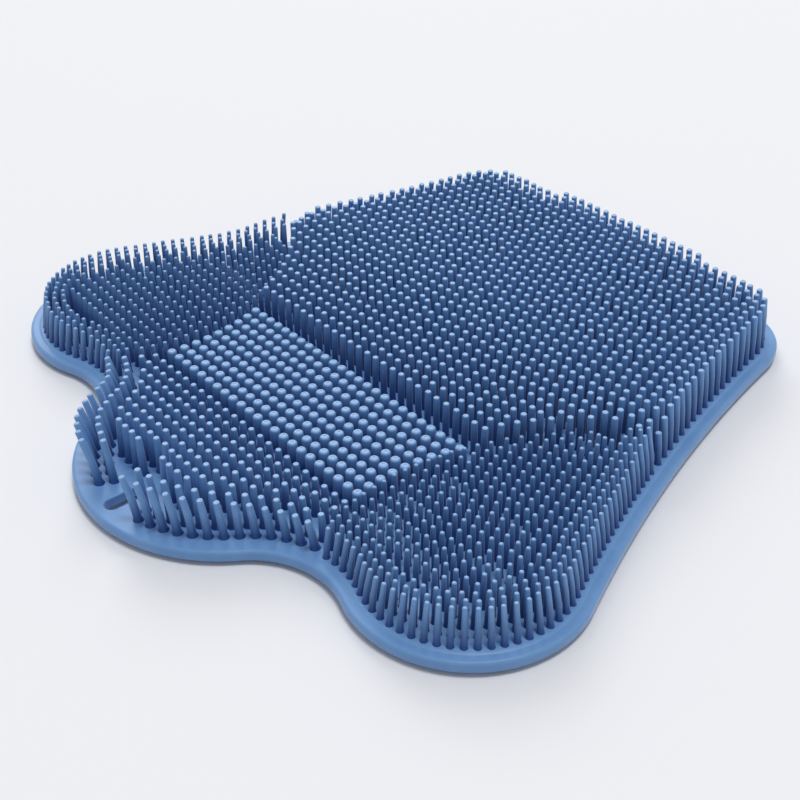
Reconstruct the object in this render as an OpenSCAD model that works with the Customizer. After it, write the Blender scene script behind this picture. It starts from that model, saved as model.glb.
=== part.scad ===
// Silicone massage pad: one moulding with a field of upright bristles, a block of stout nubs,
// a hanging slot in the front tab and rows of suction cups underneath.
// X runs across the pad, Y from the front tab to the rear edge and Z up, with the floor at 0.

/* [Plate] */
// Thickness of the plate
plate_t = 3.5; // [2.5:0.1:6]
// Width of the bare margin between the outline and the first bristles
margin_w = 5.4; // [4:0.1:9]

/* [Outline] */
// Radius of the front tab
tab_r = 49.7; // [45:0.1:56]
// Place of the tab's centre along Y
tab_y = -58; // [-66:0.5:-52]
// Radius of each wing
wing_r = 36.6; // [30:0.1:42]
// Place of each wing's centre across the pad
wing_x = 87; // [82:0.5:96]
// Place of each wing's centre along Y
wing_y = -41; // [-46:0.5:-36]
// Radius of the notch between the tab and each wing
notch_r = 27.7; // [20:0.1:40]
// Radius of the hollow curve along each side
side_r = 560; // [300:5:900]
// Radius of each rear corner
corner_r = 27; // [18:0.5:36]
// Place of each rear corner's centre across the pad
corner_x = 52; // [44:0.5:60]
// Place of each rear corner's centre along Y
corner_y = 102.5; // [92:0.5:112]
// Radius of the crowned rear edge
crown_r = 900; // [400:10:1500]

/* [Hanging slot] */
// Width of the slot
slot_w = 5; // [3:0.1:8]
// Length of the slot along Y
slot_l = 13; // [9:0.5:18]
// Distance from the front of the tab to the slot
slot_inset = 3.9; // [3:0.1:8]
// Bare width kept round the slot
slot_clear = 3; // [1:0.1:5]

/* [Zones] */
// Height by which each bristle zone stands above the plate
zone_h = 0.3; // [0.2:0.1:0.8]
// Width of the zone beyond its outer bristles
zone_lip = 1.5; // [1.2:0.1:2.5]
// Radius of the round border between a wing's bristles and the rest
border_r = 77.3; // [70:0.1:84]
// Place of that border's centre across the pad
border_x = 127.4; // [122:0.1:132]
// Place of that border's centre along Y
border_y = -38; // [-42:0.5:-34]
// Bare width between two zones' bristles
border_w = 3.4; // [2:0.1:6]

/* [Nubs] */
// Radius of a nub
nub_r = 1.6; // [1:0.05:1.9]
// Height of a nub above its zone
nub_h = 7; // [3:0.1:9]
// Distance between nubs across the pad
nub_dx = 5; // [4.4:0.1:7]
// Distance between rows of nubs
nub_dy = 5.2; // [4.4:0.1:6]
// Rows of nubs
nub_rows = 8; // [5:1:9]
// Place of the first row of nubs along Y
nub_y = -49; // [-52:0.5:-46]

/* [Rear bristles] */
// Width of a bristle
rear_w = 2.1; // [1.6:0.1:2.6]
// Length beside the nubs
rear_short = 11.5; // [6:0.5:15]
// Length along the rear edge and sides
rear_long = 16; // [10:0.5:22]
// Distance between bristles across the pad
rear_dx = 6.8; // [6:0.1:9]
// Distance between rows
rear_dy = 7; // [6:0.1:9]

/* [Wing bristles] */
// Width of a bristle
wing_w = 1.8; // [1.4:0.1:2.4]
// Length beside the nubs
wing_short = 8.5; // [5:0.5:12]
// Length along the outer edge
wing_long = 13.5; // [8:0.5:20]
// Distance between bristles across the pad
wing_dx = 6.3; // [5.6:0.1:9]
// Distance between rows
wing_dy = 6.5; // [5.6:0.1:9]

/* [Tab bristles] */
// Width of a bristle
tab_w = 2.2; // [1.6:0.1:2.8]
// Length beside the nubs
tab_short = 6; // [4:0.5:10]
// Length along the front edge
tab_long = 15.5; // [8:0.5:20]
// Distance between bristles across the pad
tab_dx = 6.1; // [5.6:0.1:9]
// Distance between rows
tab_dy = 6.4; // [5.6:0.1:9]

/* [Bristle field] */
// Distance from the nubs over which the bristles reach their full length
grow_w = 60; // [30:1:100]
// Width of the band along the outline in which bristles lean outward
lean_w = 9; // [5:0.5:15]
// Lean of the outermost bristles in the rear zone and wings, in degrees
lean = 5; // [0:0.5:8]
// Lean of the outermost bristles on the tab, in degrees
tab_lean = 13; // [0:0.5:16]

/* [Suction cups] */
// Height of a cup below the plate
cup_h = 1.5; // [1:0.1:4]
// Radius of a cup where it meets the plate
cup_top_r = 6.2; // [4:0.1:8]
// Radius of a cup at the floor
cup_r = 8; // [7:0.1:9]
// Width of a cup's flat sealing lip
cup_lip = 0.6; // [0.4:0.1:1.5]
// Depth of the hollow in a cup
cup_hollow = 1.2; // [0.5:0.1:2]
// Distance between cups in a row
cup_dx = 34; // [24:1:50]
// Distance between rows of cups
cup_dy = 30; // [24:1:50]
// Distance from the front of the tab to the first row of cups
cup_start = 21; // [18:1:34]
// Bare width kept between a cup and the outline
cup_clear = 2; // [1:0.5:5]

/* [Hidden] */
// Sides of a nub, which stay few because there are so many of them
nub_fn = 6;
// Sides of the circle that draws a cup and an outline arc
cup_fn = 48;
arc_fn = 180;
// How far a foot or a cup reaches into what carries it
root = 0.5;
// How far two neighbouring arcs of the outline cross
seam = 0.05;
// Far enough to reach past the pad in any direction
far = 400;
// Step by which the slope of the depth is found
slope_step = 0.1;
// Halvings by which the end of a row is found
halvings = 16;
// Share of the spacing under which a row is too short for two bristles
lone = 0.75;

// Centre of the circle of radius r that touches two circles from outside, on the right of a to b
function touching(a, ra, b, rb, r) =
    let (d = norm(b - a), u = (b - a) / d)
    let (s = (pow(ra + r, 2) - pow(rb + r, 2) + d * d) / (2 * d))
    a + s * u + sqrt(pow(ra + r, 2) - s * s) * [u.y, -u.x];

tab_c = [0, tab_y];
wing_c = [wing_x, wing_y];
corner_c = [corner_x, corner_y];
border_c = [border_x, border_y];
notch_c = touching(tab_c, tab_r, wing_c, wing_r, notch_r);
side_c = touching(wing_c, wing_r, corner_c, corner_r, side_r);
crown_c = [0, corner_y - sqrt(pow(crown_r - corner_r, 2) - corner_x * corner_x)];

front_y = tab_y - tab_r;
rear_edge_y = crown_c.y + crown_r;
middle_y = (front_y + rear_edge_y) / 2;
slot_y = front_y + slot_inset + slot_l / 2;
nub_end_y = nub_y + (nub_rows - 1) * nub_dy;
// Places of the first rows beside the nubs
tab_start_y = nub_y - nub_r - border_w - tab_w / 2;
rear_start_y = nub_end_y + nub_r + border_w + rear_w / 2;
nub_half_x = border_x - border_r - border_w / 2;

// Whether p lies in the wedge at c that opens from a round to b, anticlockwise
function in_wedge(p, c, a, b) =
    cross(a - c, p - c) >= 0 && cross(p - c, b - c) >= 0;
// Distance from p to the outline, for a point inside it
function depth(q) =
    let (p = [abs(q.x), q.y])
    min(
        norm(p - notch_c) - notch_r,
        norm(p - side_c) - side_r,
        crown_r - norm(p - crown_c),
        p.y < tab_y && cross(notch_c - tab_c, p - tab_c) <= 0 ? tab_r - norm(p - tab_c) : far,
        in_wedge(p, wing_c, notch_c, side_c) ? wing_r - norm(p - wing_c) : far,
        in_wedge(p, corner_c, side_c, 2 * corner_c - crown_c) ? corner_r - norm(p - corner_c) : far
    );
// Direction in which the outline is nearest
function outward(p) =
    let (gx = depth(p - [slope_step, 0]) - depth(p + [slope_step, 0]))
    let (gy = depth(p - [0, slope_step]) - depth(p + [0, slope_step]))
    [gx, gy] / norm([gx, gy]);
// Distance from p to the block of nubs
function nub_gap(p) =
    norm([max(0, abs(p.x) - nub_half_x), max(0, nub_y - p.y, p.y - nub_end_y)]);
// Length of a bristle that grows from short beside the nubs to long
function grown(p, short, long) = short + (long - short) * min(1, nub_gap(p) / grow_w);
// Distance from p to the slot's wall
function slot_gap(p) =
    norm([p.x, max(0, abs(p.y - slot_y) - (slot_l - slot_w) / 2)]) - slot_w / 2;
// Lean at p, which fades from most at the margin to none inside
function leaning(p, most) = most * max(0, 1 - (depth(p) - margin_w) / lean_w);

// Place across the pad where the row at y meets a circle of radius r round the border's centre
function border_at(y, r) =
    abs(y - border_y) < r ? border_x - sqrt(r * r - pow(y - border_y, 2)) : border_x;
// Where the row at y meets the margin, between a place inside it and one outside
function margin_at(y, inside, outside, n = 0) =
    n == halvings ? inside
    : let (x = (inside + outside) / 2)
    depth([x, y]) >= margin_w ? margin_at(y, x, outside, n + 1) : margin_at(y, inside, x, n + 1);
// Half the length of the row at y that crosses the middle of the pad
function half_row(y) =
    let (x = border_at(y, border_r + border_w / 2))
    depth([x, y]) >= margin_w ? x : margin_at(y, 0, x);
// The two ends of a wing's row at y
function wing_start(y) =
    let (x = border_at(y, border_r - border_w / 2))
    depth([x, y]) >= margin_w ? x : margin_at(y, wing_x, x);
function wing_end(y) = margin_at(y, wing_start(y), wing_x + wing_r);
// Places from a to b about step apart, whose number is odd or even as k is, so that rows stagger
function spread(a, b, step, k) =
    let (odd = k % 2, n = 2 * round(((b - a) / step - odd) / 2) + odd)
    b - a < lone * step || n < 1 ? [(a + b) / 2] : [for (i = [0 : n]) a + i * (b - a) / n];

// An upright disc
module disc(c, r, h) translate([c.x, c.y, 0]) cylinder(h = h, r = r, $fn = arc_fn);

// What a hollow curve takes away from a sheet of height h
module hollow(c, r, h) translate([c.x, c.y, -root]) cylinder(h = h + 2 * root, r = r, $fn = arc_fn);

// A sheet of the pad's shape, inset from the outline
module sheet(inset, h) {
    difference() {
        union() {
            disc(tab_c, tab_r - inset, h);
            for (s = [-1, 1]) {
                disc([s * wing_x, wing_y], wing_r - inset, h);
                disc([s * corner_x, corner_y], corner_r - inset, h);
            }
            intersection() {
                disc(crown_c, crown_r - inset - seam, h);
                translate([-corner_x, wing_y, -root]) cube([2 * corner_x, far, h + 2 * root]);
            }
            linear_extrude(h) polygon([
                tab_c, notch_c, wing_c, side_c, corner_c, [-corner_x, corner_y],
                [-side_c.x, side_c.y], [-wing_x, wing_y], [-notch_c.x, notch_c.y]
            ]);
        }
        for (s = [-1, 1]) {
            hollow([s * notch_c.x, notch_c.y], notch_r + inset + seam, h);
            hollow([s * side_c.x, side_c.y], side_r + inset + seam, h);
        }
    }
}

// The bare strips between the zones, cut down to the plate
module strips() {
    w = border_w - 2 * zone_lip + 2 * root;
    translate([0, 0, plate_t]) {
        for (s = [-1, 1]) translate([s * border_x, border_y, 0]) difference() {
            cylinder(h = far, r = border_r + w / 2, $fn = arc_fn);
            translate([0, 0, -root]) cylinder(h = far + 2 * root, r = border_r - w / 2, $fn = arc_fn);
        }
        for (y = [nub_y - nub_r - border_w / 2, nub_end_y + nub_r + border_w / 2])
            translate([-nub_half_x - border_w, y - w / 2, 0])
                cube([2 * (nub_half_x + border_w), w, far]);
    }
}

// A bristle of width w that stands at p, leaning outward by a degrees
module bristle(p, w, length, a) {
    way = outward(p);
    translate([p.x, p.y, plate_t + zone_h - root]) rotate(a, [-way.y, way.x, 0])
        translate([-w / 2, -w / 2, 0]) cube([w, w, length + root]);
}

module rear_bristles()
    for (k = [0 : floor((rear_edge_y - margin_w - rear_start_y) / rear_dy)])
        let (y = rear_start_y + k * rear_dy)
            for (x = spread(-half_row(y), half_row(y), rear_dx, k))
                bristle([x, y], rear_w, grown([x, y], rear_short, rear_long), leaning([x, y], lean));

module wing_bristles()
    for (k = [0 : floor((border_r + wing_r) / wing_dy)])
        let (y = wing_y - wing_r + margin_w + k * wing_dy, a = wing_start(y), b = wing_end(y))
            if (b - a > wing_w)
                for (x = spread(a, b, wing_dx, k), s = [-1, 1])
                    let (p = [s * x, y])
                        bristle(p, wing_w, grown(p, wing_short, wing_long), leaning(p, lean));

module tab_bristles()
    for (k = [0 : floor((tab_start_y - front_y - margin_w) / tab_dy)])
        let (y = tab_start_y - k * tab_dy)
            for (x = spread(-half_row(y), half_row(y), tab_dx, k))
                if (slot_gap([x, y]) >= slot_clear + tab_w / 2)
                    bristle([x, y], tab_w, grown([x, y], tab_short, tab_long), leaning([x, y], tab_lean));

module nubs()
    for (k = [0 : nub_rows - 1])
        let (y = nub_y + k * nub_dy)
            for (x = spread(-half_row(y), half_row(y), nub_dx, k))
                translate([x, y, plate_t + zone_h - root]) cylinder(h = nub_h + root, r = nub_r, $fn = nub_fn);

// The hanging slot, round at both ends
module slot(h) {
    half = (slot_l - slot_w) / 2;
    for (y = [slot_y - half, slot_y + half])
        translate([0, y, -root]) cylinder(h = h + 2 * root, d = slot_w, $fn = cup_fn);
    translate([-slot_w / 2, slot_y - half, -root]) cube([slot_w, 2 * half, h + 2 * root]);
}

// A suction cup, hollow below
module cup()
    difference() {
        union() {
            cylinder(h = cup_h, r1 = cup_r, r2 = cup_top_r, $fn = cup_fn);
            cylinder(h = cup_h + root, r = cup_top_r, $fn = cup_fn);
        }
        cylinder(h = cup_hollow, r1 = cup_r - cup_lip, r2 = cup_r / 2, $fn = cup_fn);
    }

module cups()
    for (k = [0 : floor((rear_edge_y - front_y) / cup_dy)])
        let (y = front_y + cup_start + k * cup_dy, n = floor(wing_x / cup_dx) + 1)
            for (i = [-n : n])
                let (p = [(i + k % 2 / 2) * cup_dx, y])
                    if (depth(p) >= cup_r + cup_clear && slot_gap(p) >= cup_r + slot_clear)
                        translate([p.x, p.y, -cup_h]) cup();

module massage_pad() {
    color("#7fa4d0") translate([0, -middle_y, cup_h]) {
        difference() {
            union() {
                sheet(0, plate_t);
                difference() {
                    sheet(margin_w - zone_lip - tab_w / 2, plate_t + zone_h);
                    strips();
                }
            }
            slot(plate_t + zone_h);
        }
        rear_bristles();
        wing_bristles();
        tab_bristles();
        nubs();
        cups();
    }
}

massage_pad();
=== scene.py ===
# Silicone massage pad: the moulded plate, its four kinds of bristle, the nubs and the suction
# cups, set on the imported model's own frame and seen from the side of the right wing.
import math
import bpy
import numpy as np
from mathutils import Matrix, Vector


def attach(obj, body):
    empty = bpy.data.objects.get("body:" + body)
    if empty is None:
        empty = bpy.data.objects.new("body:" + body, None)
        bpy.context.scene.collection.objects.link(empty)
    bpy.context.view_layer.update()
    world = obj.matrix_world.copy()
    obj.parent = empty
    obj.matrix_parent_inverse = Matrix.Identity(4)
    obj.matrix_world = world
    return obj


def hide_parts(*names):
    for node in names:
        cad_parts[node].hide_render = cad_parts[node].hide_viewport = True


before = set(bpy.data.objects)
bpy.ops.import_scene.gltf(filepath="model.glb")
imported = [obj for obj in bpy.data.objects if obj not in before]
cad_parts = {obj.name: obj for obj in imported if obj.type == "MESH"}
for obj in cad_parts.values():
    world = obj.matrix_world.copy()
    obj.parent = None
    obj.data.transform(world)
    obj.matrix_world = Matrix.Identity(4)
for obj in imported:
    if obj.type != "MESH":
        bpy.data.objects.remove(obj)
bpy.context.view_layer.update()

mm = 0.001
padNode = "massage_pad"

# Outline of the plate. Every arc touches the next one, so the edge runs on without a corner.
padOutline = {
    "tabRadius": 49.7, "tabY": -58.0,
    "wingRadius": 36.6, "wingX": 87.0, "wingY": -41.0,
    "notchRadius": 27.7,
    "sideRadius": 560.0,
    "cornerRadius": 27.0, "cornerX": 52.0, "cornerY": 102.5,
    "crownRadius": 900.0,
    "pointStep": 1.1,      # mm between two points of the outline
    "slopeStep": 0.1,      # mm, over which the depth's slope is taken
    "far": 1000.0,         # mm, stands for an arc that doesn't count
}


# Centre of the circle of radius r that touches two circles from outside, right of a to b:
# along the line of centres by the cosine rule, then across it by what Pythagoras leaves.
def touchingCentre(a, ra, b, rb, r):
    d = np.linalg.norm(b - a)
    u = (b - a) / d
    s = ((ra + r) ** 2 - (rb + r) ** 2 + d * d) / (2 * d)
    return a + s * u + math.sqrt((ra + r) ** 2 - s * s) * np.array([u[1], -u[0]])


o = padOutline
tabCentre = np.array([0.0, o["tabY"]])
wingCentre = np.array([o["wingX"], o["wingY"]])
cornerCentre = np.array([o["cornerX"], o["cornerY"]])
notchCentre = touchingCentre(tabCentre, o["tabRadius"], wingCentre, o["wingRadius"], o["notchRadius"])
sideCentre = touchingCentre(wingCentre, o["wingRadius"], cornerCentre, o["cornerRadius"], o["sideRadius"])
crownDrop = math.sqrt((o["crownRadius"] - o["cornerRadius"]) ** 2 - o["cornerX"] ** 2)
crownCentre = np.array([0.0, o["cornerY"] - crownDrop])
frontY = o["tabY"] - o["tabRadius"]
rearY = crownCentre[1] + o["crownRadius"]
middleY = (frontY + rearY) / 2  # the frame's origin lies under this point


# Angle of the line from a to b.
def heading(a, b):
    return math.atan2(b[1] - a[1], b[0] - a[0])


# The right half of the outline, from the tab's front to the rear: arcs of the six circles, where an
# inset makes the outward arcs smaller and the hollow ones larger.
def halfOutline(inset):
    tab, notch, wing, side = tabCentre, notchCentre, wingCentre, sideCentre
    corner, crown = cornerCentre, crownCentre
    arcs = [
        (tab, o["tabRadius"], -math.pi / 2, heading(tab, notch), 1),
        (notch, o["notchRadius"], heading(notch, tab), heading(notch, wing), -1),
        (wing, o["wingRadius"], heading(wing, notch), heading(wing, side), 1),
        (side, o["sideRadius"], heading(side, wing), heading(side, corner), -1),
        (corner, o["cornerRadius"], heading(corner, side), heading(crown, corner), 1),
        (crown, o["crownRadius"], heading(crown, corner), math.pi / 2, 1),
    ]
    points = []
    for centre, radius, start, end, outwards in arcs:
        count = max(3, round(radius * abs(end - start) / o["pointStep"]))
        angle = np.linspace(start, end, count + 1)[:-1]
        points.append(centre + (radius - outwards * inset) * np.stack([np.cos(angle), np.sin(angle)], 1))
    points.append(np.array([[0.0, rearY - inset]]))
    return np.concatenate(points)


# A closed ring from its right half, which starts and ends on the pad's middle line, and the mirror image.
def closedRing(half):
    return np.concatenate([half, (half * [-1, 1])[-2:0:-1]])


# Whether p lies in the wedge at c that opens anticlockwise from a to b: on the left of c to a and
# on the right of c to b.
def inWedge(p, c, a, b):
    left = (a - c)[0] * (p - c)[:, 1] - (a - c)[1] * (p - c)[:, 0]
    right = (p - c)[:, 0] * (b - c)[1] - (p - c)[:, 1] * (b - c)[0]
    return (left >= 0) & (right >= 0)


# Distance of points from the outline: the least distance to any arc, and an outward arc counts only
# for the points that lie in its own wedge.
def depthOf(q):
    p = np.stack([abs(q[:, 0]), q[:, 1]], 1)
    far = o["far"]

    def gap(c):
        return np.linalg.norm(p - c, axis=1)

    toNotch, toPoint = notchCentre - tabCentre, p - tabCentre
    inTab = (p[:, 1] < o["tabY"]) & (toNotch[0] * toPoint[:, 1] - toNotch[1] * toPoint[:, 0] <= 0)
    inWing = inWedge(p, wingCentre, notchCentre, sideCentre)
    inCorner = inWedge(p, cornerCentre, sideCentre, 2 * cornerCentre - crownCentre)
    return np.min([
        gap(notchCentre) - o["notchRadius"],
        gap(sideCentre) - o["sideRadius"],
        o["crownRadius"] - gap(crownCentre),
        np.where(inTab, o["tabRadius"] - gap(tabCentre), far),
        np.where(inWing, o["wingRadius"] - gap(wingCentre), far),
        np.where(inCorner, o["cornerRadius"] - gap(cornerCentre), far),
    ], axis=0)


# Direction in which the outline is nearest: the slope of the depth, turned to fall.
def outwardOf(p):
    step = o["slopeStep"]
    gx = depthOf(p - [step, 0]) - depthOf(p + [step, 0])
    gy = depthOf(p - [0, step]) - depthOf(p + [0, step])
    g = np.stack([gx, gy], 1)
    return g / np.maximum(np.linalg.norm(g, axis=1, keepdims=True), 1e-9)


# A mesh object from points in millimetres, in the outline's own place, moved to the frame's origin.
def pieceFrom(name, points, faces, material, smooth=True):
    shift = np.array([0.0, -middleY, cupShape["height"]])
    mesh = bpy.data.meshes.new(name)
    mesh.from_pydata(((np.asarray(points) + shift) * mm).tolist(), [], faces)
    mesh.polygons.foreach_set("use_smooth", [smooth] * len(mesh.polygons))
    mesh.validate()
    piece = bpy.data.objects.new(name, mesh)
    bpy.context.scene.collection.objects.link(piece)
    piece.data.materials.append(material)
    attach(piece, "root")
    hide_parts(padNode)
    print(name, "has", len(mesh.polygons), "faces")
    return piece


# Faces between closed rings of n points each, numbered ring after ring.
def ringFaces(rings, n, first=0):
    r, k = np.meshgrid(np.arange(rings - 1), np.arange(n), indexing="ij")
    a = first + r * n + k
    b = first + r * n + (k + 1) % n
    return np.stack([a, b, b + n, a + n], -1).reshape(-1, 4).tolist()


# Colours are written as sRGB and turned to linear light.
def linear(code):
    c = np.array([int(code[i:i + 2], 16) / 255 for i in (1, 3, 5)])
    return (*np.where(c <= 0.04045, c / 12.92, ((c + 0.055) / 1.055) ** 2.4).tolist(), 1.0)


# Adds a node with its settings and the links that come into it.
def addNode(tree, kind, settings=None, links=None):
    node = tree.nodes.new(kind)
    for key, value in (settings or {}).items():
        if key in node.inputs:
            node.inputs[key].default_value = value
        else:
            setattr(node, key, value)
    for key, source in (links or {}).items():
        tree.links.new(source, node.inputs[key])
    return node


silicone = {
    "blue": "#6694ca",         # the pad's own colour
    "bluePale": "#6f9dd2",     # the same where the pigment is thinner
    "mottleSize": 9.0,         # mm, soft clouds of pigment
    "mottleFrom": 0.3, "mottleTo": 0.75,    # share of the clouds at which each of the two blues is full
    "grainSize": 0.5,          # mm, spark-eroded mould grain, drawn coarser than it is so that it shows
    "grainHeight": 0.02,       # mm
    "grainStrength": 0.5,
    "roughness": 0.42,
    "roughnessBelow": 0.05, "roughnessAbove": 0.07,  # how far the grain carries it either way
    "sheen": 0.2, "sheenRoughness": 0.45,   # bloom on the skin that catches light along the edges
    "ior": 1.41,
    "scatter": 0.04,           # silicone lets a little light into its skin
    "scatterDepth": 1.0,       # mm
    "scatterReach": (0.6, 0.8, 1.0),        # of red, green and blue, as shares of that depth
    "paintedShadeBlue": "#124084",     # painted shade between the feet of the bristles, where little light comes
    "paintedShadeFrom": 5.3,           # mm above the floor, the zones' face, where the painted shade is full
    "paintedHighlightBlue": "#8db4e2",      # painted highlight on flat tops and domes that face up, paler than the shafts
    # Upward share of the surface's direction at which the painted highlight starts and is full
    "paintedHighlightFrom": 0.4, "paintedHighlightTo": 0.85,
}


# Liquid silicone rubber, compression moulded in a spark-eroded mould: a satin skin with broad soft
# highlights, and light that seeps through thin bristles and leaves their edges milky.
def mouldedSilicone(name, settings, paintedShadeTo=None):
    material = bpy.data.materials.new(name)
    material.use_nodes = True
    tree = material.node_tree
    shader = tree.nodes["Principled BSDF"]
    place = addNode(tree, "ShaderNodeTexCoord")
    clouds = addNode(tree, "ShaderNodeTexNoise",
                     {"Scale": 1 / (settings["mottleSize"] * mm), "Detail": 2.0, "Roughness": 0.5},
                     {"Vector": place.outputs["Object"]})
    colour = addNode(tree, "ShaderNodeValToRGB", {}, {"Fac": clouds.outputs["Fac"]})
    colour.color_ramp.elements[0].position = settings["mottleFrom"]
    colour.color_ramp.elements[0].color = linear(settings["blue"])
    colour.color_ramp.elements[1].position = settings["mottleTo"]
    colour.color_ramp.elements[1].color = linear(settings["bluePale"])
    grain = addNode(tree, "ShaderNodeTexNoise",
                    {"Scale": 1 / (settings["grainSize"] * mm), "Detail": 3.0, "Roughness": 0.6},
                    {"Vector": place.outputs["Object"]})
    gloss = addNode(tree, "ShaderNodeMapRange",
                    {"To Min": settings["roughness"] - settings["roughnessBelow"],
                     "To Max": settings["roughness"] + settings["roughnessAbove"]},
                    {"Value": grain.outputs["Fac"]})
    bump = addNode(tree, "ShaderNodeBump",
                   {"Strength": settings["grainStrength"], "Distance": settings["grainHeight"] * mm},
                   {"Height": grain.outputs["Fac"]})
    # Painted shade: below the given height the colour darkens toward the shade blue, fully at the zones'
    # face.
    if paintedShadeTo:
        apart = addNode(tree, "ShaderNodeSeparateXYZ", {}, {"Vector": place.outputs["Object"]})
        height = addNode(tree, "ShaderNodeMapRange",
                         {"From Min": settings["paintedShadeFrom"] * mm, "From Max": paintedShadeTo * mm},
                         {"Value": apart.outputs["Z"]})
        colour = addNode(tree, "ShaderNodeMixRGB", {"Color1": linear(settings["paintedShadeBlue"])},
                         {"Fac": height.outputs["Result"], "Color2": colour.outputs["Color"]})
        # Painted highlight: faces that look up are painted paler, fading out lower down along with the
        # painted shade.
        facing = addNode(tree, "ShaderNodeSeparateXYZ", {}, {"Vector": place.outputs["Normal"]})
        flat = addNode(tree, "ShaderNodeMapRange",
                       {"From Min": settings["paintedHighlightFrom"], "From Max": settings["paintedHighlightTo"]},
                       {"Value": facing.outputs["Z"]})
        tip = addNode(tree, "ShaderNodeMath", {"operation": "MULTIPLY"})
        tree.links.new(flat.outputs["Result"], tip.inputs[0])
        tree.links.new(height.outputs["Result"], tip.inputs[1])
        colour = addNode(tree, "ShaderNodeMixRGB", {"Color2": linear(settings["paintedHighlightBlue"])},
                         {"Fac": tip.outputs["Value"], "Color1": colour.outputs["Color"]})
    tree.links.new(colour.outputs["Color"], shader.inputs["Base Color"])
    tree.links.new(gloss.outputs["Result"], shader.inputs["Roughness"])
    tree.links.new(bump.outputs["Normal"], shader.inputs["Normal"])
    shader.inputs["IOR"].default_value = settings["ior"]
    shader.inputs["Sheen Weight"].default_value = settings["sheen"]
    shader.inputs["Sheen Roughness"].default_value = settings["sheenRoughness"]
    shader.inputs["Subsurface Weight"].default_value = settings["scatter"]
    shader.inputs["Subsurface Radius"].default_value = settings["scatterReach"]
    shader.inputs["Subsurface Scale"].default_value = settings["scatterDepth"] * mm
    return material


padSilicone = mouldedSilicone("padSilicone", silicone)
# Heights in mm at which the painted shade between each field's bristles has faded out
nubSilicone = mouldedSilicone("nubSilicone", silicone, 12.0)
tabSilicone = mouldedSilicone("tabSilicone", silicone, 14.0)
wingSilicone = mouldedSilicone("wingSilicone", silicone, 16.5)
rearSilicone = mouldedSilicone("rearSilicone", silicone, 20.0)
print("materials made")

# The plate, with its rounded rim, flat faces and the hanging slot through the tab.
plateShape = {
    "thickness": 3.5,
    "edgeRadius": 1.0,       # top edge
    "lowerFace": 0.4, "upperFace": 0.5,  # mm of flat face that the rim takes in below and above
    "lowerEdgeRadius": 0.5,  # bottom edge, at the mould's parting line
    "slotWidth": 5.0, "slotLength": 13.0, "slotInset": 3.9,
    "slotEdge": 0.5,         # rounding of the slot's rims
    "slotFace": 0.3,         # mm of flat face that they take in
    "slotPoints": 24,        # round half of the slot
    "roundSteps": 6,
}

cupShape = {
    "height": 1.5,
    "radius": 8.0,
    # Radius and height above the floor, from inside the plate down to the lip, then up into the hollow
    "profile": [(6.2, 1.7), (6.5, 1.2), (7.75, 0.35), (8.0, 0.15),
                (7.85, 0.0), (7.4, 0.0), (5.0, 0.75), (2.5, 1.1)],
    "hollow": 1.2,
    "spacingX": 34.0, "spacingY": 30.0, "start": 21.0,
    "edgeClear": 2.0,        # from a cup to the outline
    "columns": 8,            # tried on each side of the middle
    "sides": 32,
}

slotMidY = frontY + plateShape["slotInset"] + plateShape["slotLength"] / 2


# The right half of the slot's wall, from front to back: a quarter turn, a straight and a quarter turn,
# grown by the rounding of its rim.
def halfSlot(grow):
    s = plateShape
    reach = (s["slotLength"] - s["slotWidth"]) / 2
    r = s["slotWidth"] / 2 + grow
    angle = np.linspace(-math.pi / 2, math.pi / 2, s["slotPoints"])
    shift = np.where(angle < 0, -reach, reach)
    return np.stack([r * np.cos(angle), slotMidY + shift + r * np.sin(angle)], 1)


# Inset and height of each ring of the rim: a quarter circle at the top and a smaller one below.
def rimProfile():
    s = plateShape
    turn = np.linspace(0, math.pi / 2, s["roundSteps"])
    low, top = s["lowerEdgeRadius"], s["edgeRadius"]
    below = np.stack([low * (1 - np.sin(turn)), low * (1 - np.cos(turn))], 1)
    above = np.stack([top * (1 - np.cos(turn)), s["thickness"] - top * (1 - np.sin(turn))], 1)
    first, last = [[low + s["lowerFace"], 0.0]], [[top + s["upperFace"], s["thickness"]]]
    return np.concatenate([first, below, above, last])


# Growth and height of each ring of the slot's wall: the rounded lower rim, then the upper one.
def slotProfile():
    s = plateShape
    turn = np.linspace(0, math.pi / 2, s["roundSteps"])
    e = s["slotEdge"]
    below = np.stack([e * (1 - np.sin(turn)), e * (1 - np.cos(turn))], 1)
    above = np.stack([e * (1 - np.cos(turn)), s["thickness"] - e * (1 - np.sin(turn))], 1)
    return np.concatenate([[[e + s["slotFace"], 0.0]], below, above, [[e + s["slotFace"], s["thickness"]]]])


# Numbers of the points of a closed ring's right half and of its left half, each from front to rear.
def ringHalves(n):
    return np.arange(n // 2 + 1), np.concatenate([[0], np.arange(n - 1, n // 2 - 1, -1)])


# A slab from rings that lie one above another, closed by flat faces. Where a slot's wall goes through
# it, both faces are made of a right and a left half, since a face can't have a hole.
def makeSlab(name, rings, heights, material, wall=(), wallHeights=()):
    n = len(rings[0])
    points = [np.column_stack([ring, np.full(n, h)]) for ring, h in zip(rings, heights)]
    faces = ringFaces(len(rings), n)
    if not len(wall):
        faces += [(np.arange(n) + (len(rings) - 1) * n).tolist(), np.arange(n)[::-1].tolist()]
        return pieceFrom(name, np.concatenate(points), faces, material)
    m = len(wall[0])
    points += [np.column_stack([ring, np.full(m, h)]) for ring, h in zip(wall, wallHeights)]
    base = len(rings) * n
    # The slot's wall looks the other way.
    faces += [f[::-1] for f in ringFaces(len(wall), m, base)]
    rightRim, leftRim = ringHalves(n)
    rightSlot, leftSlot = ringHalves(m)
    for ring, slotRing, up in ((len(rings) - 1, len(wall) - 1, True), (0, 0, False)):
        right = (rightRim + ring * n).tolist() + (rightSlot + base + slotRing * m).tolist()[::-1]
        left = (leftRim + ring * n).tolist() + (leftSlot + base + slotRing * m).tolist()[::-1]
        faces.append(right if up else right[::-1])
        faces.append(left[::-1] if up else left)
    return pieceFrom(name, np.concatenate(points), faces, material)


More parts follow.
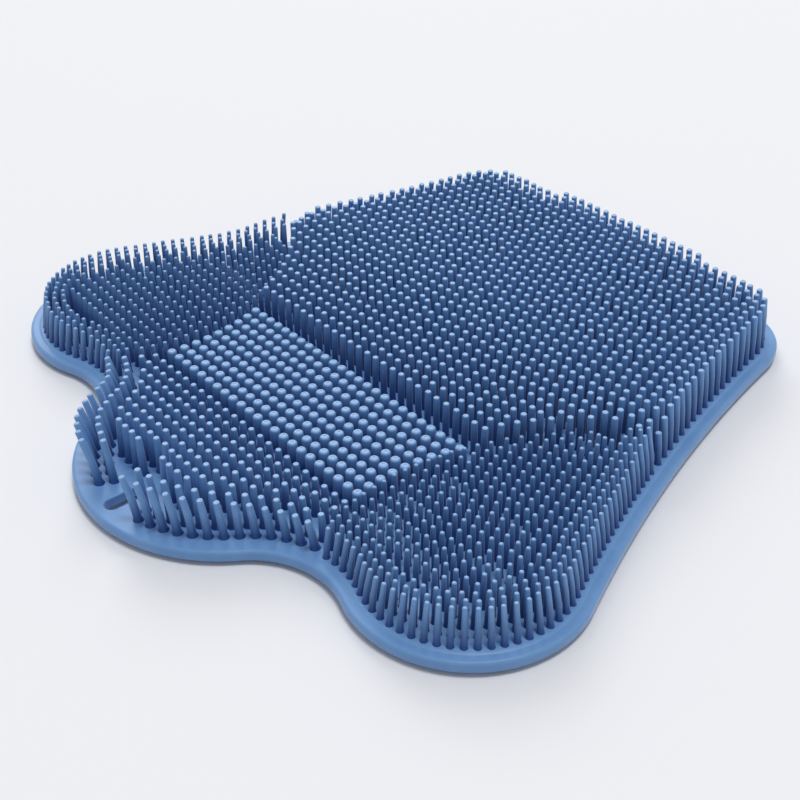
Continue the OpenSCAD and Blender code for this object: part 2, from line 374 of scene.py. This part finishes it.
rim, slotRim = rimProfile(), slotProfile()
makeSlab("plate", [closedRing(halfOutline(inset)) for inset in rim[:, 0]], rim[:, 1], padSilicone,
         [closedRing(halfSlot(grow)) for grow in slotRim[:, 0]], slotRim[:, 1])

# The bristle zones: each stands a little above the plate, and a round border parts the wings from the rest.
zoneShape = {
    "height": 0.3,
    "edge": 1.1,           # width over which the step rolls down to the plate
    # Ring by ring from below: shares of that width inward and of the height down
    "roll": [(-0.1, 1.3), (0.2, 0.9), (0.5, 0.5), (0.8, 0.1), (1.1, 0.0)],
    "margin": 5.4,         # from the outline to the first bristles' centres
    "lip": 1.5,            # zone beyond its bristles
    "borderRadius": 77.3, "borderX": 127.4, "borderY": -38.0,
    "borderWidth": 3.4,    # between the bristles of two zones
    "linePoints": 220, "arcPoints": 60,
    "lineStep": 0.25,      # mm, of the outline from which a zone's part is cut
}

nubField = {
    "radius": 1.6, "height": 7.0, "spacingX": 4.4, "spacingY": 4.6,
    "rows": 9, "firstY": -49.0,
    "shoulder": 0.85, "dimple": 0.22, "tipRise": -0.02,
    "sides": 14,
}

# Lengths go from short beside the nubs to long. Leans are in degrees at the outline: outward, and to
# the right.
rearField = {
    "footRadius": 1.1, "topRadius": 1.05, "short": 11.5, "long": 16.0,
    "spacingX": 4.15, "spacingY": 4.4, "firstY": -5.0,
    "crownClear": 0.6,  # what the crowned rear edge takes from the middle row's end
    "lean": -5.5, "sideLean": 0.0, "sides": 10, "seed": 3,
}

wingField = {
    "footRadius": 1.0, "topRadius": 0.72, "short": 8.5, "long": 12.5,
    "spacingX": 3.9, "spacingY": 4.0, "lastY": 40.0,
    "edgeRows": 3, "edgeSpacing": 3.5, "edgeStep": 3.6,  # rows that follow the outline
    "slack": 0.1,  # mm by which a row's start may pass the least depth
    "lean": -8.0, "sideLean": 0.0, "sides": 10, "seed": 5,
}

tabField = {
    "footRadius": 1.3, "topRadius": 1.0, "short": 6.0, "long": 17.5,
    "spacingX": 4.4, "spacingY": 4.6, "firstY": -54.6,
    "margin": 6.8,  # wider than elsewhere, so that the slot lies in bare silicone
    "edgeRows": 2, "edgeSpacing": 4.5, "edgeStep": 4.3,
    "lean": 10.0, "sideLean": -9.0, "sides": 12, "seed": 7,
}

growth = {
    "growWidth": 60.0,   # over this distance from the nubs the bristles reach their full length
    "leanWidth": 9.0,    # bristles lean in this band along the outline
    "slotClear": 4.4,    # bare width round the slot
    # Rear bristles this near a wing and the outline are shorter by this share, and a wing's are longer
    "endWidth": 9.0, "endShare": 0.35,
    "wingEndWidth": 20.0, "wingEndShare": 0.3,
    "wobble": 0.7333,    # degrees, the usual stray of a moulded bristle from upright
    "loneShare": 0.75,   # a row shorter than this share of a step holds one bristle
}

z = zoneShape
innerBorder = z["borderRadius"] - z["borderWidth"] / 2  # outermost bristles of a wing
outerBorder = z["borderRadius"] + z["borderWidth"] / 2  # first bristles of the tab, nubs and rear zone
nubEndY = nubField["firstY"] + (nubField["rows"] - 1) * nubField["spacingY"]
nubHalfX = z["borderX"] - outerBorder
zoneInset = z["margin"] - z["lip"] - rearField["footRadius"]


# Distance to the slot's wall: a stadium is all that lies within its radius of a straight line.
def slotGap(p):
    reach = (plateShape["slotLength"] - plateShape["slotWidth"]) / 2
    dy = np.maximum(0, abs(p[:, 1] - slotMidY) - reach)
    return np.hypot(p[:, 0], dy) - plateShape["slotWidth"] / 2


# Distance to the centre of the border of the wing on the same side.
def borderDistance(p):
    return np.hypot(abs(p[:, 0]) - z["borderX"], p[:, 1] - z["borderY"])


# Share of its full growth that a bristle has: its distance from the block of nubs over the growing width.
def growthAt(p):
    dx = np.maximum(0, abs(p[:, 0]) - nubHalfX)
    dy = np.maximum(0, np.maximum(nubField["firstY"] - p[:, 1], p[:, 1] - nubEndY))
    return np.minimum(1, np.hypot(dx, dy) / growth["growWidth"])


# Where rows at y meet a circle round the border's centre, by Pythagoras.
def borderAt(y, radius):
    return z["borderX"] - np.sqrt(np.maximum(0, radius ** 2 - (y - z["borderY"]) ** 2))


# How far rows at y may reach from a place inside toward one outside, at some least depth: by halving.
def reachAt(y, inside, outside, least):
    for halving in range(16):
        middle = (inside + outside) / 2
        fits = depthOf(np.stack([middle, y], 1)) >= least
        inside, outside = np.where(fits, middle, inside), np.where(fits, outside, middle)
    return inside


# Rows from a to b at y, each spread evenly between its ends. The numbers of gaps in two
# neighbouring rows differ by an odd number, so that the rows stagger.
def spreadRows(a, b, y, step):
    odd = np.arange(len(y)) % 2
    gaps = 2 * np.round(((b - a) / step - odd) / 2) + odd
    lone = (b - a < growth["loneShare"] * step) | (gaps < 1)
    a, gaps = np.where(lone, (a + b) / 2, a), np.where(lone, 0, gaps)
    i = np.arange(int(gaps.max()) + 1)
    x = a[:, None] + i * ((b - a) / np.maximum(gaps, 1))[:, None]
    return np.stack([x, np.broadcast_to(y[:, None], x.shape)], -1)[i <= gaps[:, None]]


# Half lengths of the rows at y that cross the middle of the pad.
def halfRows(y, least):
    x = borderAt(y, outerBorder)
    fits = depthOf(np.stack([x, y], 1)) >= least
    return np.where(fits, x, reachAt(y, 0 * y, x, least))


# A number of points along a line at equal spacing.
def evenly(line, count):
    run = np.concatenate([[0], np.cumsum(np.linalg.norm(np.diff(line, axis=0), axis=1))])
    at = np.linspace(0, run[-1], count)
    return np.stack([np.interp(at, run, line[:, 0]), np.interp(at, run, line[:, 1])], 1)


# The same with a spacing as near to step as fits.
def alongLine(line, step):
    length = np.linalg.norm(np.diff(line, axis=0), axis=1).sum()
    return evenly(line, max(2, round(length / step) + 1))


# Points with their mirror images on the left half.
def mirrored(p):
    return np.concatenate([p, p * [-1, 1]])


# Part of the circle of a wing's border, on the side toward the pad's middle, between two angles.
def borderArc(radius, start, end):
    turn = np.linspace(start, end, z["arcPoints"])
    return np.stack([z["borderX"] + radius * np.cos(turn), z["borderY"] + radius * np.sin(turn)], 1)


# Angle at which a point is seen from the border's centre, from 0 to a whole turn.
def borderAngle(p):
    return math.atan2(p[1] - z["borderY"], p[0] - z["borderX"]) % (2 * math.pi)


# Angle at which the circle of the border reaches the height y on its inner side, by the arc sine.
def angleAt(y, radius):
    return math.pi - math.asin((y - z["borderY"]) / radius)


# The inset outline where a condition holds, made anew with a fixed number of points.
def outlinePart(inset, keep):
    line = alongLine(halfOutline(inset), z["lineStep"])
    return evenly(line[keep(line)], z["linePoints"])


# Right half of the nubs' zone, shrunk by s all round: the middle line, the border, then the middle line.
def nubZone(s):
    radius = outerBorder - z["lip"] - nubField["radius"] + s
    low = nubField["firstY"] - nubField["radius"] - 0.5 * z["lip"] + s
    high = nubEndY + nubField["radius"] + 0.5 * z["lip"] - s
    side = borderArc(radius, angleAt(low, radius), angleAt(high, radius))
    return np.concatenate([[[0, low]], side, [[0, high]]])


# Right half of the rear zone, shrunk by s: its front line, the border, then the inset outline.
def rearZone(s):
    radius = outerBorder - z["lip"] - rearField["footRadius"] + s
    low = rearField["firstY"] - rearField["footRadius"] - z["lip"] + s
    edge = outlinePart(zoneInset + s, lambda p: (borderDistance(p) >= radius) & (p[:, 1] > low))
    side = borderArc(radius, angleAt(low, radius), borderAngle(edge[0]))
    return np.concatenate([[[0, low]], side, edge])


# The whole ring of the right wing's zone: its outer edge, then the border back to the start.
def wingZone(s):
    radius = innerBorder + z["lip"] + wingField["footRadius"] - s
    edge = outlinePart(zoneInset + s, lambda p: borderDistance(p) <= radius)
    side = borderArc(radius, borderAngle(edge[-1]), borderAngle(edge[0]))
    return np.concatenate([edge, side[1:-1]])


# The rear rows lie across the pad, at equal steps up to the rear margin.
def rearFeet():
    f = rearField
    end = rearY - z["margin"]
    y = np.linspace(f["firstY"], end - f["crownClear"], round((end - f["firstY"]) / f["spacingY"]) + 1)
    half = halfRows(y, z["margin"])
    return spreadRows(-half, half, y, f["spacingX"])


# The nubs' rows lie across the pad, from border to border.
def nubFeet():
    y = nubField["firstY"] + np.arange(nubField["rows"]) * nubField["spacingY"]
    half = halfRows(y, z["margin"])
    return spreadRows(-half, half, y, nubField["spacingX"])


# A wing's outer rows follow its outline, and rows across the pad fill the rest up to the border.
def wingFeet():
    f = wingField
    fields = []
    for row in range(f["edgeRows"]):
        line = halfOutline(z["margin"] + row * f["edgeStep"])
        line = line[borderDistance(line) <= innerBorder]
        fields.append(alongLine(line, f["edgeSpacing"]))
    least = z["margin"] + f["edgeRows"] * f["edgeStep"]
    y = np.arange(o["wingY"] - o["wingRadius"] + least, f["lastY"], f["spacingY"])
    start = borderAt(y, innerBorder)
    middle = np.full(len(y), o["wingX"]) + np.maximum(0, start - o["wingX"])
    fits = depthOf(np.stack([start, y], 1)) >= least
    start = np.where(fits, start, reachAt(y, middle, start, least))
    end = reachAt(y, start, start * 0 + o["wingX"] + o["wingRadius"], least)
    deepEnough = depthOf(np.stack([start, y], 1)) >= least - f["slack"]
    rows = (end - start > f["spacingX"] / 2) & deepEnough
    fields.append(spreadRows(start[rows], end[rows], y[rows], f["spacingX"]))
    return mirrored(np.concatenate(fields))


# The tab's front rows follow its round edge, and the rest are rows across the pad.
def tabFeet():
    f = tabField
    fields = []
    for row in range(f["edgeRows"]):
        line = halfOutline(f["margin"] + row * f["edgeStep"])
        line = line[(borderDistance(line) >= outerBorder) & (line[:, 1] < f["firstY"])]
        fields.append(alongLine(np.concatenate([(line * [-1, 1])[:0:-1], line]), f["edgeSpacing"]))
    least = f["margin"] + f["edgeRows"] * f["edgeStep"]
    y = np.arange(f["firstY"], frontY + least, -f["spacingY"])
    half = halfRows(y, least)
    fields.append(spreadRows(-half, half, y, f["spacingX"]))
    feet = np.concatenate(fields)
    return feet[slotGap(feet) >= growth["slotClear"] + f["footRadius"]]


# The zones of the nubs, the rear and the wings are thin slabs whose edge rolls down into the plate:
# each ring lies inward and down by its shares. The tab's bristles stand on the plate itself.
def makeZones():
    top = plateShape["thickness"] + z["height"]
    shrinks = [inward * z["edge"] for inward, down in z["roll"]]
    heights = [top - down * z["height"] for inward, down in z["roll"]]
    makeSlab("nubZone", [closedRing(nubZone(s)) for s in shrinks], heights, nubSilicone)
    makeSlab("rearZone", [closedRing(rearZone(s)) for s in shrinks], heights, padSilicone)
    makeSlab("rightWingZone", [wingZone(s) for s in shrinks], heights, padSilicone)
    makeSlab("leftWingZone", [(wingZone(s) * [-1, 1])[::-1] for s in shrinks], heights, padSilicone)


makeZones()


# A field of bent bristles. Each is a pile of rings along an arc: the lean grows evenly from foot to
# tip, so the centre line is the running sum of its direction, and a ring lies square to it.
# profile gives the radius and height of each ring for bristles of given lengths, and the point that
# closes the top lies tipRise above the last ring.
def bristleField(name, feet, lengths, leanAngles, leanWays, profile, sides, tipRise, material):
    n = len(feet)
    radii, heights = profile(lengths)            # n x rings
    share = heights / lengths[:, None]
    bend = np.radians(leanAngles)[:, None] * (0.5 + share)
    drift = np.radians(leanAngles)[:, None] * (0.5 * share + 0.5 * share ** 2) * lengths[:, None]
    centre = np.concatenate([
        feet[:, None, :] + drift[..., None] * leanWays[:, None, :],
        (heights * np.cos(bend / 2) + plateShape["thickness"] + z["height"])[..., None],
    ], -1)
    way = np.concatenate([leanWays, np.zeros((n, 1))], 1)[:, None, :]
    across = np.stack([-leanWays[:, 1], leanWays[:, 0], np.zeros(n)], 1)[:, None, :]
    up = np.array([0.0, 0.0, 1.0])
    along = way * np.cos(bend)[..., None] - up * np.sin(bend)[..., None]
    turn = np.arange(sides) * 2 * math.pi / sides
    ring = along[:, :, None, :] * np.cos(turn)[:, None] + across[:, :, None, :] * np.sin(turn)[:, None]
    points = centre[:, :, None, :] + radii[:, :, None, None] * ring
    rings = radii.shape[1]
    tipBend = bend[:, -1:, None]
    tip = centre[:, -1:, :] + (way * np.sin(tipBend) + up * np.cos(tipBend)) * tipRise
    block = np.concatenate([points.reshape(n, rings * sides, 3), tip], 1)
    size = rings * sides + 1
    quads = np.array(ringFaces(rings, sides))
    k = np.arange(sides)
    last = (rings - 1) * sides
    caps = np.stack([last + k, last + (k + 1) % sides, np.full(sides, size - 1)], 1)
    base = (np.arange(n) * size)[:, None, None]
    faces = (quads + base).reshape(-1, 4).tolist() + (caps + base).reshape(-1, 3).tolist()
    return pieceFrom(name, block.reshape(-1, 3), faces, material)


root = -0.45  # mm, from the zone's face down into the plate

# Rings of a bristle, foot to top: shares of the foot's and the top's radius and mm added to it, then
# shares of the length and of the top's radius and mm added to the height. The root flares, the middle
# lies halfway. A flat top has a rounded edge and a slight dimple, a round one closes as a dome.
flatTopped = [
    (1.38, 0, 0, 0, 0, root), (1.12, 0, 0, 0, 0, 0.25), (1, 0, 0, 0, 0, 0.8), (0.5, 0.5, 0, 0.55, 0, 0),
    (0, 1, 0, 1, 0, -0.5), (0, 1, -0.07, 1, 0, -0.2), (0, 1, -0.27, 1, 0, -0.02), (0, 0.5, 0, 1, 0, -0.07),
]
roundTopped = [
    (1.4, 0, 0, 0, 0, root), (1.12, 0, 0, 0, 0, 0.25), (1, 0, 0, 0, 0, 0.8), (0.5, 0.5, 0, 0.5, 0, 0),
    (0, 1, 0, 1, -0.7, 0), (0, 0.9, 0, 1, -0.3, 0), (0, 0.55, 0, 1, -0.07, 0),
]


# A round bar with such rings: each radius and each height is the sum of its shares.
def barProfile(field, rings):
    foot, top, more, share, lower, fixed = np.array(rings, float).T
    radii = foot * field["footRadius"] + top * field["topRadius"] + more

    def profile(lengths):
        heights = lengths[:, None] * share + (lower * field["topRadius"] + fixed)
        return np.broadcast_to(radii, heights.shape), heights
    return profile


# A nub is a straight stem with a flat top, a rounded shoulder and a shallow dimple in the middle.
def nubProfile(lengths):
    r, shoulder = nubField["radius"], nubField["shoulder"]
    one = np.ones_like(lengths)
    turn = np.radians([0, 30, 60, 90])
    # Root, stem, the quarter circle of the shoulder, then the rim and the floor of the dimple
    radii = [1.2 * r, 1.02 * r, 0.98 * r]
    radii += (r - shoulder + shoulder * np.cos(turn)).tolist() + [0.42 * r, 0.2 * r]
    heights = [root * one, 0.3 * one, 0.9 * one]
    heights += [lengths - shoulder + shoulder * math.sin(t) for t in turn]
    heights += [lengths - 0.03, lengths - nubField["dimple"]]
    return np.stack([v * one for v in radii], 1), np.stack(heights, 1)


# Lean of each bristle: outward and sideways near the outline, fading over the leaning band, plus a
# small stray.
def leansOf(feet, field):
    dice = np.random.default_rng(field["seed"])
    fade = np.maximum(0, 1 - (depthOf(feet) - z["margin"]) / growth["leanWidth"])
    stray = dice.normal(0, growth["wobble"], (len(feet), 2))
    total = (outwardOf(feet) * field["lean"] + [field["sideLean"], 0]) * fade[:, None] + stray
    angle = np.linalg.norm(total, axis=1)
    return angle, total / angle[:, None]


# How near a bristle is to the corner between the rear side of a wing's border and the outline, from 0
# to 1: what is left of the width after its distance from the one, times the same for the other.
def nearEnd(feet, width):
    border = 1 - (abs(borderDistance(feet) - z["borderRadius"]) - z["borderWidth"] / 2) / width
    edge = 1 - (depthOf(feet) - z["margin"]) / width
    return np.clip(border, 0, 1) * np.clip(edge, 0, 1) * (feet[:, 1] > z["borderY"])


# Grows one field: the length goes from short to long with the growth, less in the rear zone's ends
# beside a wing and more in a wing's end beside the rear zone.
def makeField(name, feet, field, rings, tipRise, material):
    lengths = field["short"] + (field["long"] - field["short"]) * growthAt(feet)
    if field is rearField:
        lengths = lengths * (1 - growth["endShare"] * nearEnd(feet, growth["endWidth"]))
    if field is wingField:
        lengths = lengths * (1 + growth["wingEndShare"] * nearEnd(feet, growth["wingEndWidth"]))
    angles, ways = leansOf(feet, field)
    profile = barProfile(field, rings)
    return bristleField(name, feet, lengths, angles, ways, profile, field["sides"], tipRise, material)


flatRise, roundRise = -0.03, 0.07 * wingField["topRadius"]  # mm from the last ring to the closing point
makeField("rearBristles", rearFeet(), rearField, flatTopped, flatRise, rearSilicone)
makeField("wingBristles", wingFeet(), wingField, roundTopped, roundRise, wingSilicone)
makeField("tabBristles", tabFeet(), tabField, flatTopped, flatRise, tabSilicone)
feet = nubFeet()
upright = np.zeros(len(feet))
anyWay = np.tile([1.0, 0.0], (len(feet), 1))
bristleField("nubs", feet, np.full(len(feet), nubField["height"]), upright, anyWay, nubProfile,
             nubField["sides"], nubField["tipRise"], nubSilicone)


# Suction cups under the plate, each a shallow bell with a flat sealing lip: its profile turned round,
# set in staggered rows wherever it fits inside the outline and beside the slot.
def makeCups():
    c = cupShape
    rows = int((rearY - frontY) / c["spacingY"]) + 1
    k, i = np.meshgrid(np.arange(rows), np.arange(-c["columns"], c["columns"] + 1), indexing="ij")
    p = np.stack([(i + (k % 2) / 2) * c["spacingX"], frontY + c["start"] + k * c["spacingY"]], -1)
    p = p.reshape(-1, 2)
    p = p[(depthOf(p) >= c["radius"] + c["edgeClear"]) & (slotGap(p) >= c["radius"] + growth["slotClear"])]
    radii, heights = np.array(c["profile"]).T
    heights = heights - c["height"]
    turn = np.arange(c["sides"]) * 2 * math.pi / c["sides"]
    ring = np.stack([np.cos(turn), -np.sin(turn)], 1)
    flat = radii[:, None, None] * ring
    upward = np.broadcast_to(heights[:, None, None], (*flat.shape[:2], 1))
    one = np.concatenate([flat, upward], -1).reshape(-1, 3)
    one = np.concatenate([one, [[0, 0, c["hollow"] - c["height"]]]])
    points = one[None] + np.column_stack([p, np.zeros(len(p))])[:, None]
    quads = np.array(ringFaces(len(radii), c["sides"]))
    last = (len(radii) - 1) * c["sides"]
    side = np.arange(c["sides"])
    centre = np.full(c["sides"], len(one) - 1)
    caps = np.stack([last + side, last + (side + 1) % c["sides"], centre], 1)
    base = (np.arange(len(p)) * len(one))[:, None, None]
    faces = (quads + base).reshape(-1, 4).tolist() + (caps + base).reshape(-1, 3).tolist()
    return pieceFrom("suctionCups", points.reshape(-1, 3), faces, padSilicone)


makeCups()

# Camera, floor and light
view = {
    "eye": (277.5, -240.5, 247.7),     # mm
    "target": (10.8, -11.7, 1.5),      # mm
    "lens": 58.5, "sensor": 36.0,      # mm
    "nearest": 0.01,                   # metres
}

camera = bpy.data.cameras.new("camera")
camera.lens = view["lens"]
camera.sensor_width = view["sensor"]
camera.clip_start = view["nearest"]
cameraObject = bpy.data.objects.new("camera", camera)
cameraObject.location = [v * mm for v in view["eye"]]
look = Vector([t - e for t, e in zip(view["target"], view["eye"])])
cameraObject.rotation_euler = look.to_track_quat("-Z", "Y").to_euler()
bpy.context.scene.collection.objects.link(cameraObject)
bpy.context.scene.camera = cameraObject

studio = {
    "floor": "#eeeff3",
    "worldStrength": 0.4,  # what lights the pad
    "skyStrength": 0.85,   # what is seen beyond the floor and in the gloss
    # Lamps in watts and metres: the key almost overhead, the back one mirrored in every flat top
    "keyPower": 87.0, "keySize": 1.2, "keyPlace": (0.6, 0.3, 4.6),
    "backPower": 262.0, "backSize": 4.0, "backPlace": (-5.6, 3.4, 4.6),
    "floorReach": 6.0,     # metres from the middle to each side
    "floorRoughness": 0.9, "floorGloss": 0.1,
}

floorMesh = bpy.data.meshes.new("floor")
reach = studio["floorReach"]
corners = [(-reach, -reach, 0), (reach, -reach, 0), (reach, reach, 0), (-reach, reach, 0)]
floorMesh.from_pydata(corners, [], [(0, 1, 2, 3)])
floorObject = bpy.data.objects.new("floor", floorMesh)
bpy.context.scene.collection.objects.link(floorObject)
floorMaterial = bpy.data.materials.new("paperSweep")
floorMaterial.use_nodes = True
floorShader = floorMaterial.node_tree.nodes["Principled BSDF"]
floorShader.inputs["Base Color"].default_value = linear(studio["floor"])
floorShader.inputs["Roughness"].default_value = studio["floorRoughness"]
floorShader.inputs["Specular IOR Level"].default_value = studio["floorGloss"]
floorMesh.materials.append(floorMaterial)

world = bpy.data.worlds.new("studioWorld")
bpy.context.scene.world = world
world.use_nodes = True
sky = world.node_tree
background = sky.nodes["Background"]
background.inputs["Color"].default_value = (1.0, 1.0, 1.0, 1.0)
# The strength goes from what lights to what is seen, for a ray from the camera, a gloss or a clear body.
rays = addNode(sky, "ShaderNodeLightPath")
seen = addNode(sky, "ShaderNodeMath", {"operation": "ADD"})
sky.links.new(rays.outputs["Is Camera Ray"], seen.inputs[0])
sky.links.new(rays.outputs["Is Glossy Ray"], seen.inputs[1])
seenAll = addNode(sky, "ShaderNodeMath", {"operation": "ADD"})
sky.links.new(seen.outputs["Value"], seenAll.inputs[0])
sky.links.new(rays.outputs["Is Transmission Ray"], seenAll.inputs[1])
strength = addNode(sky, "ShaderNodeMapRange",
                   {"To Min": studio["worldStrength"], "To Max": studio["skyStrength"]},
                   {"Value": seenAll.outputs["Value"]})
sky.links.new(strength.outputs["Result"], background.inputs["Strength"])


# A square lamp that faces the pad.
def makeLamp(name, place, size, power):
    lamp = bpy.data.lights.new(name, "AREA")
    lamp.size = size
    lamp.energy = power
    lampObject = bpy.data.objects.new(name, lamp)
    lampObject.location = place
    lampObject.rotation_euler = (-Vector(place)).to_track_quat("-Z", "Y").to_euler()
    bpy.context.scene.collection.objects.link(lampObject)


makeLamp("key", studio["keyPlace"], studio["keySize"], studio["keyPower"])
makeLamp("back", studio["backPlace"], studio["backSize"], studio["backPower"])

bpy.context.scene.view_settings.view_transform = "Standard"
print("camera and light set")
